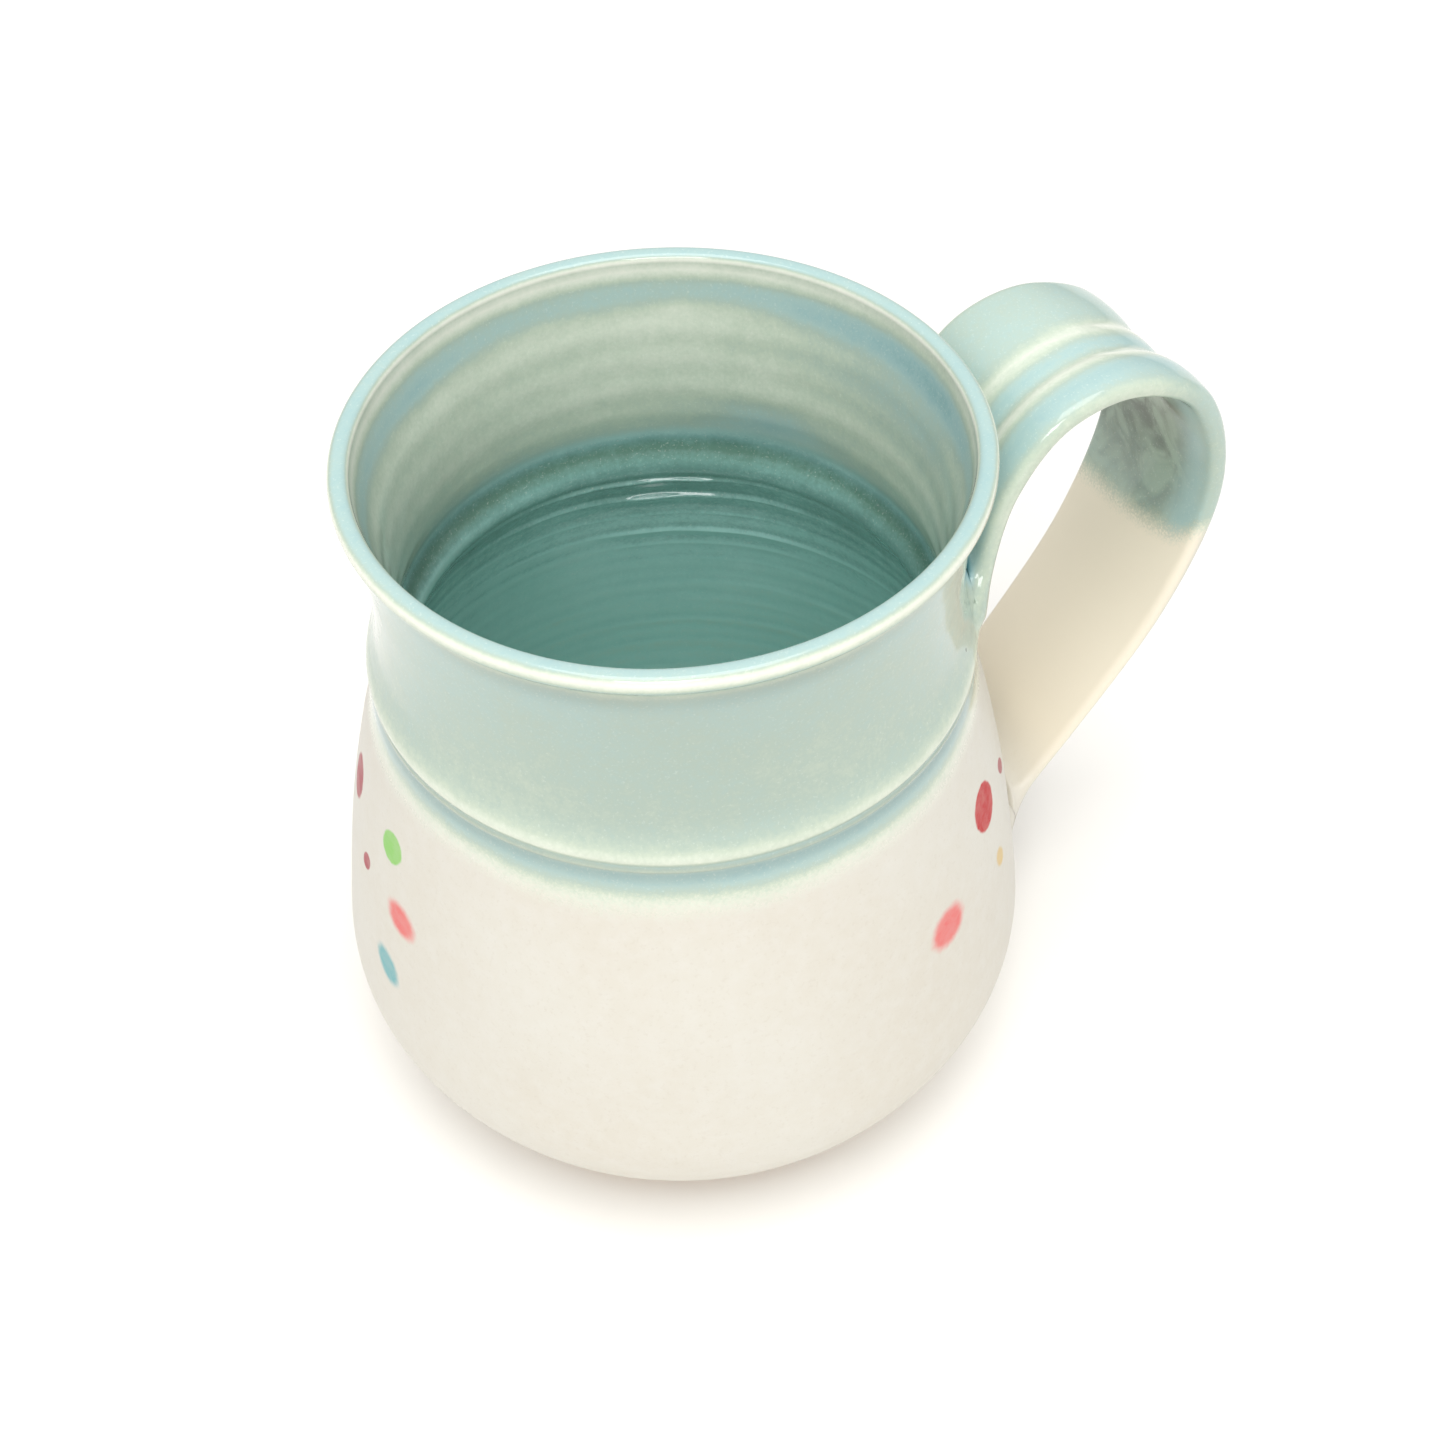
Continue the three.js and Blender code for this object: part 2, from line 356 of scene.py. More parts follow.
def make_body():
    """The thrown vessel, turned from its outline, with finger rings inside and a slight wobble."""
    foot = np.array([
        [0.0, 0.0, 0.0], [FOOT_RADIUS * 0.5, 0.0, 0.0], [FOOT_RADIUS, 0.0, 0.0],
        [FOOT_RADIUS + BEVEL_MIDDLE[0], BEVEL_MIDDLE[1], 0.0],
    ])
    inside = inside_line()
    line = np.vstack([foot, OUTSIDE, lip_line(), inside])
    ring = line[1:-1]
    is_inside = np.arange(1, len(line) - 1) >= len(line) - len(inside)

    angle = np.arange(TURN_STEPS) / TURN_STEPS * 2 * math.pi
    turn = np.repeat(angle[None, :], len(ring), axis=0)
    radius, height, glaze = (np.repeat(column[:, None], TURN_STEPS, axis=1) for column in ring.T)

    rings, ring_glaze = throwing_rings(radius, height, turn)
    inside_share = is_inside[:, None].astype(float)
    slope = np.gradient(ring[:, 1]) / np.maximum(np.hypot(*np.gradient(ring[:, :2], axis=0).T), 1e-6)
    wall_share = np.abs(slope)[:, None]
    radius = radius - inside_share * rings * wall_share
    height = height + inside_share * rings * (1 - wall_share)
    glaze = glaze + inside_share * (ring_glaze + inside_pools(height, turn))

    radius = radius + hand_lean(turn, height) * fade(radius, 5.0, 25.0)
    height = height + wander(5, (2, 0.08), (3, 0.05))(turn) * fade(height, 90.0, 103.0)

    places = np.stack([radius * np.cos(turn), radius * np.sin(turn), height], axis=-1).reshape(-1, 3)
    vertices = np.vstack([places, [[0, 0, line[0, 1]], [0, 0, line[-1, 1]]]])
    faces = tube_faces(len(ring), TURN_STEPS)
    return add_mesh("mug_body", vertices, faces, body_attributes(ring, is_inside, turn, height, glaze))


# ---------------------------------------------------------------- the strap handle
PATH_SPAN_POINTS = 80
PATH_STEP = 0.25
EDGE_ROUND = 1.25

# How much wider the strap is at each root, and over what share of its length.
UPPER_SPREAD, UPPER_SPREAD_REACH = 10.0, 0.085
LOWER_SPREAD, LOWER_SPREAD_REACH = 4.0, 0.06

# The radius round which each root is bent back, up to how far out, and over what share of the length.
UPPER_WRAP_RADIUS, UPPER_WRAP_REACH = 38.0, 0.12
LOWER_WRAP_RADIUS, LOWER_WRAP_REACH = 47.0, 0.08
WRAP_HALF_WIDTH = 20.0

# The smear of clay between strap and wall: its usual width, and how much less it is in the upper crevice.
SMEAR_WIDTH = 6.0
CREVICE_LESS = 3.4

SECTION_COUNT = 112
LENGTH_ROWS = 320
SKIRT_ROWS = 22
SKIRT_REACH = 7.5
SKIRT_SPACING = 1.2
SKIRT_EASING = 4

# The share of the length at each end where the strap may leave the wall, and how finely it is searched.
ROOT_SEARCH = 0.3
SEARCH_COUNT = 900
ROOT_EASING = 3

# How deep under the wall's outside the strap is closed, and how big each row of the cap is.
CAP_DEPTH = 1.1
CAP_SHARES = (0.985, 0.75, 0.5, 0.25)

# The strap's middle line, in the plane of the handle: each place is [distance from the axis, height].
STRAP_PATH = [
    [36.2, 67.0], [39.5, 76.5], [42.9, 87.8], [49.7, 95.8], [60.3, 97.2], [71.4, 90.4], [76.0, 74.0],
    [70.6, 54.0], [58.5, 34.4], [46.6, 18.4],
]
PATH = even(catmull_rom(STRAP_PATH, PATH_SPAN_POINTS), PATH_STEP)
PATH_TANGENT = np.gradient(PATH, axis=0)
PATH_TANGENT /= np.linalg.norm(PATH_TANGENT, axis=1)[:, None]
PATH_OUT = np.stack([-PATH_TANGENT[:, 1], PATH_TANGENT[:, 0]], axis=1)
PATH_SHARE = np.linspace(0, 1, len(PATH))
SHARE_PER_MM = PATH_SHARE[1] / np.hypot(*(PATH[1] - PATH[0]))
COARSE = 8  # points of the path passed over by the first, rough search for the nearest one


def half_width(share):
    """Half the strap's width along its length, with both roots spread by the potter's thumbs."""
    plain = STRAP_WIDTH_UPPER + (STRAP_WIDTH_LOWER - STRAP_WIDTH_UPPER) * share
    upper = UPPER_SPREAD * np.exp(-(share / UPPER_SPREAD_REACH) ** 2)
    lower = LOWER_SPREAD * np.exp(-((1 - share) / LOWER_SPREAD_REACH) ** 2)
    return (plain + (upper + lower)) / 2


def rib_places(share):
    """The two lengthwise ribs, as places across the strap; they draw together where it turns down."""
    turned = fade(share, 0.22, 0.44)
    return -0.05 - 0.22 * turned, 0.50 - 0.10 * fade(share, 0.06, 0.20) - 0.17 * turned


def lobe(place, start, end, lean):
    """A rounded lobe from start to end across the strap, 1 at its top; a bigger lean moves it to the end."""
    t = np.clip((place - start) / (end - start), 0, 1)
    top = lean / (1 + lean)
    return (t ** lean) * (1 - t) / (top ** lean * (1 - top))


def outer_depth(place, share):
    """Depth of the strap's outer face from its middle line. Place runs from -1, far, to 1, near."""
    first, second = rib_places(share)
    fading = 1 - 0.75 * fade(share, 0.5, 0.85)
    rising = 0.45 + 0.55 * fade(share, 0.05, 0.2)
    lobes = (0.75 * lobe(place, -1.25, first, 1.3) + 0.42 * lobe(place, first, second, 0.62)
             + 1.25 * lobe(place, second, 1.22, 0.75))
    twist = 0.28 * place * bump(share, 0.4, 0.2)
    return 0.85 + lobes * fading * rising + twist


def inner_depth(place, share):
    """Depth of the strap's smooth inner face from its middle line."""
    root = 1 - fade(share, 0.08, 0.28)
    crown = (0.95 - 0.3 * root) * (1 - place ** 2)
    ripple = 0.05 * np.sin(9 * share + 2 * place)
    return 0.75 + 0.5 * root + crown + ripple


def wrap_shift(y, share):
    """How far the strap's edges bend back round the mug at each root, where the clay was pressed on."""
    across = np.minimum(y ** 2, WRAP_HALF_WIDTH ** 2)
    upper = np.sqrt(UPPER_WRAP_RADIUS ** 2 - across) - UPPER_WRAP_RADIUS
    lower = np.sqrt(LOWER_WRAP_RADIUS ** 2 - across) - LOWER_WRAP_RADIUS
    at_upper = np.exp(-(share / UPPER_WRAP_REACH) ** 2)
    at_lower = np.exp(-((1 - share) / LOWER_WRAP_REACH) ** 2)
    return upper * at_upper + lower * at_lower


def along_and_out(flat):
    """Share of the strap's length and distance out of its middle line, for points in its plane."""
    coarse = ((flat[:, None, :] - PATH[None, ::COARSE, :]) ** 2).sum(-1).argmin(1) * COARSE
    around = np.clip(coarse[:, None] + np.arange(-COARSE, COARSE + 1), 0, len(PATH) - 1)
    gaps = ((flat[:, None, :] - PATH[around]) ** 2).sum(-1)
    nearest = np.take_along_axis(around, gaps.argmin(1)[:, None], 1)[:, 0]
    beyond = flat - PATH[nearest]
    along = (beyond * PATH_TANGENT[nearest]).sum(1)
    out = (beyond * PATH_OUT[nearest]).sum(1)
    return np.clip(PATH_SHARE[nearest] + along * SHARE_PER_MM, 0, 1), out


def strap_frame(points):
    """For points in space: how far along the strap they are, and how far out of its middle line."""
    flat = points[:, [0, 2]]
    share, _ = along_and_out(flat)
    bent_back = np.stack([wrap_shift(points[:, 1], share), np.zeros(len(points))], axis=1)
    return along_and_out(flat - bent_back)


def strap_distance(points, share, out):
    """Rough distance from points to the strap's surface, below 0 inside it."""
    half = half_width(share)
    place = np.clip(points[:, 1] / -half, -1, 1)
    depth = np.where(out > 0, outer_depth(place, share), inner_depth(place, share))
    beside = np.abs(points[:, 1]) - half + EDGE_ROUND
    beyond = np.abs(out) - depth + EDGE_ROUND
    outside = np.hypot(np.maximum(beside, 0), np.maximum(beyond, 0))
    return outside + np.minimum(np.maximum(beside, beyond), 0) - EDGE_ROUND


# The wall's slope, evened out over a few points to each side.
SLOPE_REACH = 6
SLOPE_WINDOW = 2 * SLOPE_REACH + 1
WALL_SLOPE = np.convolve(
    np.pad(np.gradient(OUTSIDE[:, 0], OUTSIDE[:, 1]), SLOPE_REACH, mode="edge"),
    np.ones(SLOPE_WINDOW) / SLOPE_WINDOW, mode="valid")


def true_wall_radius(points):
    """Radius of the outside of the wall at the angle and height of each point."""
    angle = np.arctan2(points[:, 1], points[:, 0])
    return wall_radius(points[:, 2]) + hand_lean(angle, points[:, 2])


def wall_distance(points):
    """Rough distance from points to the outside of the thrown wall."""
    radius = np.hypot(points[:, 0], points[:, 1])
    wall = true_wall_radius(points)
    slope = np.interp(points[:, 2], OUTSIDE[:, 1], WALL_SLOPE)
    return (radius - wall) / np.sqrt(1 + slope ** 2)


def blend_width(share, out):
    """How far the clay is smeared between strap and wall: little in the upper crevice, more elsewhere."""
    crevice = fade(out, -0.5, 1.0) * fade(-share, -0.4, -0.2)
    return SMEAR_WIDTH - CREVICE_LESS * crevice


def joined_distance(points):
    """Distance to strap and wall together, with the smear of clay between them."""
    share, out = strap_frame(points)
    wall, strap = wall_distance(points), strap_distance(points, share, out)
    width = blend_width(share, out)
    near = np.maximum(width - np.abs(wall - strap), 0) / width
    return np.minimum(wall, strap) - near ** 2 * width / 4


def settle(points, rounds=5):
    """Moves points on to the joined surface, by short steps along its slope."""
    step = 0.05
    least_slope = 0.2
    longest_move = 0.8
    for _ in range(rounds):
        value = joined_distance(points)
        slope = np.stack([
            (joined_distance(points + step * axis) - joined_distance(points - step * axis)) / (2 * step)
            for axis in np.eye(3)], axis=1)
        size = np.maximum((slope ** 2).sum(1), least_slope)
        move = np.clip(value / size, -longest_move, longest_move)
        points = points - move[:, None] * slope
    return points


def strap_section(count):
    """Directions round the strap's section: place across it and place out of it, each from -1 to 1."""
    squareness_across, squareness_out = 0.75, 0.35
    angle = np.arange(count) / count * 2 * math.pi
    cos, sin = np.cos(angle), np.sin(angle)
    across = np.sign(cos) * np.abs(cos) ** squareness_across
    outward = np.sign(sin) * np.abs(sin) ** squareness_out
    return across, outward


def strap_point(share, across, outward):
    """A point of the strap's section at a share of its length."""
    middle = np.stack([np.interp(share, PATH_SHARE, PATH[:, i]) for i in (0, 1)], axis=-1)
    out = np.stack([np.interp(share, PATH_SHARE, PATH_OUT[:, i]) for i in (0, 1)], axis=-1)
    depth = np.where(outward > 0, outer_depth(across, share), inner_depth(across, share))
    flat = middle + out * (outward * depth)[..., None]
    y = -across * half_width(share)
    return np.stack([flat[..., 0] + wrap_shift(y, share), y, flat[..., 1]], axis=-1)


def wall_crossing(across, outward, shares):
    """The first of the shares of the length, in their order, where each line of the strap leaves the wall."""
    found = np.empty(len(across))
    for j in range(len(across)):
        points = strap_point(shares, np.full(len(shares), across[j]), np.full(len(shares), outward[j]))
        clear = wall_distance(points) > 0
        found[j] = shares[np.argmax(clear)]
    return found


def smooth_ring(values, rounds):
    """Values round a ring, each eased towards its neighbours."""
    for _ in range(rounds):
        values = (np.roll(values, 1) + 2 * values + np.roll(values, -1)) / 4
    return values


def skirt(edge):
    """Rows of points from the edge of the strap out along the wall, for the smeared clay of a root."""
    radial = np.stack([edge[:, 0], edge[:, 1], np.zeros(len(edge))], axis=1)
    radial /= np.linalg.norm(radial, axis=1)[:, None]
    away = edge - edge.mean(0)
    away -= (away * radial).sum(1)[:, None] * radial
    away /= np.maximum(np.linalg.norm(away, axis=1), 1e-6)[:, None]
    away = np.stack([smooth_ring(away[:, i], SKIRT_EASING) for i in range(3)], axis=1)
    away /= np.linalg.norm(away, axis=1)[:, None]
    rows = []
    for i in range(1, SKIRT_ROWS + 1):
        reach = SKIRT_REACH * (i / SKIRT_ROWS) ** SKIRT_SPACING
        points = edge + away * reach
        scale = wall_radius(points[:, 2]) / np.maximum(np.hypot(points[:, 0], points[:, 1]), 1e-6)
        points[:, :2] *= scale[:, None]
        rows.append(points)
    return rows


def buried_cap(ring):
    """Rows that close the strap inside the wall, under its outside."""
    angle = np.arctan2(ring[:, 1], ring[:, 0])
    middle_angle, middle_height = angle.mean(), ring[:, 2].mean()
    rows = []
    for share in CAP_SHARES:
        turned = middle_angle + share * (angle - middle_angle)
        height = middle_height + share * (ring[:, 2] - middle_height)
        radius = wall_radius(height) - CAP_DEPTH
        rows.append(np.stack([radius * np.cos(turned), radius * np.sin(turned), height], axis=1))
    centre = np.array([wall_radius(middle_height) - CAP_DEPTH, 0.0, middle_height])
    return rows, centre


def thin_out(shown):
    """Thins the smear to nothing towards its edge, whose last row sinks into the wall."""
    for i in range(SKIRT_ROWS):
        outwards = 1 - i / SKIRT_ROWS
        thinned = fade(outwards, 0.15, 0.9)
        sink = 0.02 + 0.10 * fade(outwards, 0.9, 1.0)
        for row in (shown[i], shown[-1 - i]):
            radius = np.hypot(row[:, 0], row[:, 1])
            settled_wall = true_wall_radius(row) - sink
            row[:, :2] *= (1 + thinned * (settled_wall - radius) / radius)[:, None]


def strap_attributes(vertices):
    """The glaze maps of the strap and its smears, with painted shade in the crevice and under the bend and
    painted bounce light on the inner face.
    """
    height = vertices[:, 2]
    share, out = strap_frame(vertices)
    place = np.clip(-vertices[:, 1] / half_width(share), -1, 1)
    first, second = rib_places(share)
    outer_face = fade(out, 0.1, 0.6)
    inner_face = fade(-out, 0.3, 1.0)
    wall, strap = wall_distance(vertices), strap_distance(vertices, share, out)
    on_wall = fade(strap, 1.0, 4.0)

    # thin on the ribs and the edges, and pooled between the ribs
    rooted = fade(share, 0.06, 0.16)
    turned_down = fade(share, 0.30, 0.44)
    crest = (bump(place, first + 0.08, 0.13) + bump(place, second + 0.10, 0.12)) * outer_face * rooted
    pool = (bump(place, first + 0.33, 0.12) + bump(place, second + 0.36, 0.15)) * outer_face
    edge = bump(np.abs(place), 1.0, 0.07) * (1 - 0.5 * inner_face) * (1 - 0.85 * turned_down)
    strap_glaze = 0.15 - 0.85 * crest - 0.50 * edge + 0.36 * pool
    wall_glaze = np.interp(height, OUTSIDE[:, 1], OUTSIDE[:, 2])
    glaze = strap_glaze * (1 - on_wall) + wall_glaze * on_wall

    # deep where it ran into the crevice of the upper root, and darker there as painted shade in the crevice
    seam_width = 0.8 + 1.4 * fade(height, 80.0, 93.0)
    pooled_and_shaded = bump(wall - strap, 0.0, seam_width) * fade(-wall, -3.2, -1.0)
    high = fade(-share, -0.4, -0.2) * fade(height, 76.0, 81.0)
    near_side = fade(place, 0.45, 0.75)
    in_crevice = np.maximum(fade(out, -0.5, 1.0), near_side) * high
    glaze = glaze + 2.7 * pooled_and_shaded * in_crevice
    near_edge = bump(place, 0.72, 0.2) * inner_face

    # the dip line crosses the strap on a slant where it comes down
    slant = DIP_Z - 1.2 + 2.4 * place + 1.8 * fade(place, 0.7, 1.0)
    at_upper_root = share < 0.3
    dip = np.where(at_upper_root, DIP_Z, slant)

    # olive under the bend, partly pooled glaze and partly painted shade, and painted bounce light from there
    # down to the lower root: a warmer, lighter cream
    olive_and_shade = inner_face * bump(share, 0.43, 0.17) * fade(-place, -0.8, -0.3)
    bounce_start = fade(share, 0.3, 0.45)
    bounce_end = fade(-share, -0.97, -0.86)
    # painted bounce light on the strap's inner face
    painted_bounce = bounce_start * fade(-out, -0.9, 0.3) * (1 - on_wall) * bounce_end
    return {
        "above_dip": height - dip,
        "glaze": glaze + 0.3 * near_edge,
        "olive_and_shade": olive_and_shade,
        "painted_bounce": painted_bounce,
    }


def make_strap():
    """The strap and the clay smeared round both of its roots, closed inside the wall."""
    across, outward = strap_section(SECTION_COUNT)
    from_top = np.linspace(0, ROOT_SEARCH, SEARCH_COUNT)
    from_bottom = np.linspace(1, 1 - ROOT_SEARCH, SEARCH_COUNT)
    first = smooth_ring(wall_crossing(across, outward, from_top), ROOT_EASING)
    last = smooth_ring(wall_crossing(across, outward, from_bottom), ROOT_EASING)
    travel = np.linspace(0, 1, LENGTH_ROWS)
    rows = [strap_point(first + (last - first) * t, across, outward) for t in travel]
    rows = np.array(skirt(rows[0])[::-1] + rows + skirt(rows[-1]))
    shown = settle(rows.reshape(-1, 3)).reshape(rows.shape)
    thin_out(shown)
    cap_start, centre_start = buried_cap(shown[0])
    cap_end, centre_end = buried_cap(shown[-1])
    grid = np.array(cap_start[::-1] + list(shown) + cap_end)
    vertices = np.vstack([grid.reshape(-1, 3), [centre_start, centre_end]])
    faces = tube_faces(len(grid), SECTION_COUNT, flipped=True)
    return add_mesh("strap", vertices, faces, strap_attributes(vertices))


# ---------------------------------------------------------------- material helpers
class Graph:
    """Short calls for building a node tree."""

    COLUMNS = 12
    COLUMN_WIDTH = 200
    ROW_HEIGHT = 260

    def __init__(self, material):
        material.use_nodes = True
        self.tree = material.node_tree
        self.tree.nodes.clear()
        self.count = 0

    def add(self, kind, **settings):
        """A new node, laid out in rows so that the tree can be read in Blender."""
        node = self.tree.nodes.new(kind)
        self.count += 1
        row, column = divmod(self.count, self.COLUMNS)
        node.location = (column * self.COLUMN_WIDTH, -row * self.ROW_HEIGHT)
        for key, value in settings.items():
            setattr(node, key, value)
        return node

    def link(self, value, socket):
        """Connects a node's output, or sets a plain value."""
        if isinstance(value, bpy.types.NodeSocket):
            self.tree.links.new(value, socket)
        else:
            socket.default_value = value

    def math(self, operation, *values):
        node = self.add("ShaderNodeMath", operation=operation)
        for value, socket in zip(values, node.inputs):
            self.link(value, socket)
        return node.outputs[0]

    def either_side(self, value, amount):
        """A value from 0 to 1 turned into one from half the amount below 0 to half of it above."""
        return self.math("MULTIPLY_ADD", value, amount, -amount / 2)

    def attribute(self, name):
        return self.add("ShaderNodeAttribute", attribute_name=name).outputs["Fac"]

    def noise(self, place, scale, detail=3.0, roughness=0.55, distortion=0.0):
        node = self.add("ShaderNodeTexNoise")
        self.link(place, node.inputs["Vector"])
        node.inputs["Scale"].default_value = scale
        node.inputs["Detail"].default_value = detail
        node.inputs["Roughness"].default_value = roughness
        node.inputs["Distortion"].default_value = distortion
        return node.outputs["Fac"]

    def remap(self, value, low, high, to_low=0.0, to_high=1.0, kind="SMOOTHSTEP"):
        node = self.add("ShaderNodeMapRange", interpolation_type=kind)
        for item, socket in zip((value, low, high, to_low, to_high), node.inputs):
            self.link(item, socket)
        return node.outputs[0]

    def ramp(self, value, stops):
        node = self.add("ShaderNodeValToRGB")
        self.link(value, node.inputs[0])
        band = node.color_ramp
        while len(band.elements) < len(stops):
            band.elements.new(0.5)
        for element, (position, colour) in zip(band.elements, stops):
            element.position = position
            element.color = colour
        return node.outputs[0]

    def mix(self, share, first, second, kind="RGBA"):
        """Goes from the first colour, or value where the kind is FLOAT, to the second."""
        node = self.add("ShaderNodeMix", data_type=kind)
        self.link(share, node.inputs["Factor"])
        self.link(first, node.inputs["A"])
        self.link(second, node.inputs["B"])
        return node.outputs["Result"]


def colour(red, green, blue):
    """A scene-linear colour from 0 to 255 display values."""
    def linear(value):
        share = value / 255
        return share / 12.92 if share <= 0.04045 else ((share + 0.055) / 1.055) ** 2.4
    return (linear(red), linear(green), linear(blue), 1.0)


# ---------------------------------------------------------------- the glazes and the painted dots
ROSE, RED, CORAL = colour(172, 66, 78), colour(192, 14, 26), colour(228, 114, 112)
GREEN, BLUE, YELLOW = colour(144, 202, 108), colour(114, 176, 180), colour(222, 192, 128)

# Each dot: degrees round from the side opposite the handle, height, half length, half width, tilt in
# degrees from the horizontal, paint, and how soft its edge is.
DOTS = [
    (-14.4, 53.7, 3.9, 2.9, 74, ROSE, 0.12),
    (6.0, 55.5, 2.8, 2.4, 40, GREEN, 0.12),
    (-3.4, 46.1, 1.8, 1.25, 52, ROSE, 0.15),
    (10.8, 45.7, 3.4, 2.65, 176, CORAL, 0.40),
    (6.9, 33.9, 3.3, 2.7, 148, BLUE, 0.34),
    (147.6, 49.2, 2.6, 1.15, 136, ROSE, 0.15),
    (133.5, 52.8, 3.9, 3.5, 122, RED, 0.08),
    (136.5, 40.5, 2.2, 1.4, 125, YELLOW, 0.30),
    (115.5, 44.0, 3.7, 3.15, 9, CORAL, 0.36),
    (-104.0, 52.5, 3.9, 3.0, 84, RED, 0.10),
    (-119.0, 47.0, 3.2, 2.4, 100, GREEN, 0.14),
    (-96.0, 42.0, 4.0, 2.9, 76, CORAL, 0.40),
    (-110.0, 36.5, 3.8, 2.8, 105, BLUE, 0.32),
    (-128.0, 55.0, 1.9, 1.2, 70, YELLOW, 0.28),
]


def paint_dots(graph, place, base):
    """Paints the dots over a base colour, placed by angle and height; gives the colour and the cover."""
    parts = graph.add("ShaderNodeSeparateXYZ")
    graph.link(place, parts.inputs[0])
    back = graph.math("MULTIPLY", parts.outputs[0], -1.0)
    left = graph.math("MULTIPLY", parts.outputs[1], -1.0)
    turn = graph.math("ARCTAN2", left, back)
    height = graph.math("DIVIDE", parts.outputs[2], MM)
    ragged = graph.noise(place, 900.0, 2.0)
    brushed = graph.noise(place, 380.0, 3.0, 0.6, 0.8)
    colour_so_far = base
    cover_so_far = 0.0
    for degrees, middle, half_length, half_width_mm, tilt, paint, softness in DOTS:
        radius = float(wall_radius(middle))
        around = graph.math("MULTIPLY", turn, radius)
        flat = graph.add("ShaderNodeCombineXYZ")
        graph.link(around, flat.inputs[0])
        graph.link(height, flat.inputs[1])
        mapping = graph.add("ShaderNodeMapping", vector_type="TEXTURE")
        graph.link(flat.outputs[0], mapping.inputs["Vector"])
        mapping.inputs["Location"].default_value = (math.radians(degrees) * radius, middle, 0)
        mapping.inputs["Rotation"].default_value = (0, 0, math.radians(tilt))
        mapping.inputs["Scale"].default_value = (half_length, half_width_mm, 1)
        length = graph.add("ShaderNodeVectorMath", operation="LENGTH")
        graph.link(mapping.outputs[0], length.inputs[0])
        raggedness = 0.10 + 0.35 * softness
        rough = graph.math("MULTIPLY_ADD", ragged, raggedness, length.outputs["Value"])
        edge = 1.0 + 0.5 * raggedness
        mask = graph.remap(rough, edge + 0.5 * softness, edge - softness)
        thick = graph.remap(brushed, 0.35, 0.7, 0.84, 1.0)
        share = graph.math("MULTIPLY", mask, thick)
        colour_so_far = graph.mix(share, colour_so_far, paint)
        cover_so_far = graph.math("MAXIMUM", cover_so_far, mask)
    return colour_so_far, cover_so_far


# Celadon by depth, from thin over an edge to deep in a crevice.
THINNEST, DEEPEST = -1.2, 2.2
CELADON = [
    (THINNEST, colour(244, 243, 230)),
    (-0.75, colour(224, 229, 213)),
    (-0.3, colour(195, 207, 188)),
    (0.0, colour(177, 194, 181)),
    (0.35, colour(171, 197, 192)),
    (0.7, colour(158, 190, 190)),
    (1.0, colour(138, 176, 178)),
    (1.6, colour(78, 126, 134)),
    (DEEPEST, colour(34, 78, 92)),
]
CELADON_STOPS = [((depth - THINNEST) / (DEEPEST - THINNEST), paint) for depth, paint in CELADON]

# The greener celadon of the belly's inside, partly thicker glaze and partly painted bounce light, as stops
# between its own thinnest and deepest.
TEAL_THINNEST, TEAL_DEEPEST = -0.6, 1.4
TEAL_STOPS = [
    (0.0, colour(194, 212, 194)), (0.35, colour(180, 221, 213)), (0.55, colour(166, 211, 204)),
    (0.75, colour(126, 168, 160)), (1.0, colour(92, 128, 114)),
]

CREAM_ROUGHNESS = 0.38
CELADON_ROUGHNESS = 0.055
CLAY_ROUGHNESS = 0.85
GLAZE_IOR = 1.52
GLAZE_SPECULAR = 0.5
CREAM_DULLS, PAINT_DULLS = 0.10, 0.30
RELIEF_STRENGTH = 0.10
RELIEF_DISTANCE = 0.0004

# How finely each noise varies: the bigger, the finer.
CLOUD, MOTTLE, GRAIN, DUST = 60.0, 420.0, 1700.0, 2800.0
CREAM_CLOUD, STREAK = 28.0, 150.0
PEEL, FINE_PEEL = 170.0, 700.0

# How far the noises move the dip line, in millimetres, and how much they vary the depth of the celadon.
DIP_WANDERS, DIP_FRAYS = 2.4, 3.4
CLOUD_VARIES, MOTTLE_VARIES, GRAIN_VARIES = 0.5, 0.4, 0.36

# Specks: cells to the metre, a speck's greatest radius in metres, and the share of cells that have one.
IRON_SPECKS = (170.0, 0.00036, 0.08)
CREAM_SPECKS = (130.0, 0.00030, 0.04)


def specks(graph, place, cells, size, chance):
    """A few tiny round specks, one in some of the cells."""
    node = graph.add("ShaderNodeTexVoronoi")
    graph.link(place, node.inputs["Vector"])
    node.inputs["Scale"].default_value = cells
    parts = graph.add("ShaderNodeSeparateColor")
    graph.link(node.outputs["Color"], parts.inputs[0])
    picked = graph.math("GREATER_THAN", parts.outputs[0], 1.0 - chance)
    radius = graph.math("MULTIPLY", parts.outputs[1], size * cells)
    round_spot = graph.math("LESS_THAN", node.outputs["Distance"], radius)
    return graph.math("MULTIPLY", picked, round_spot)


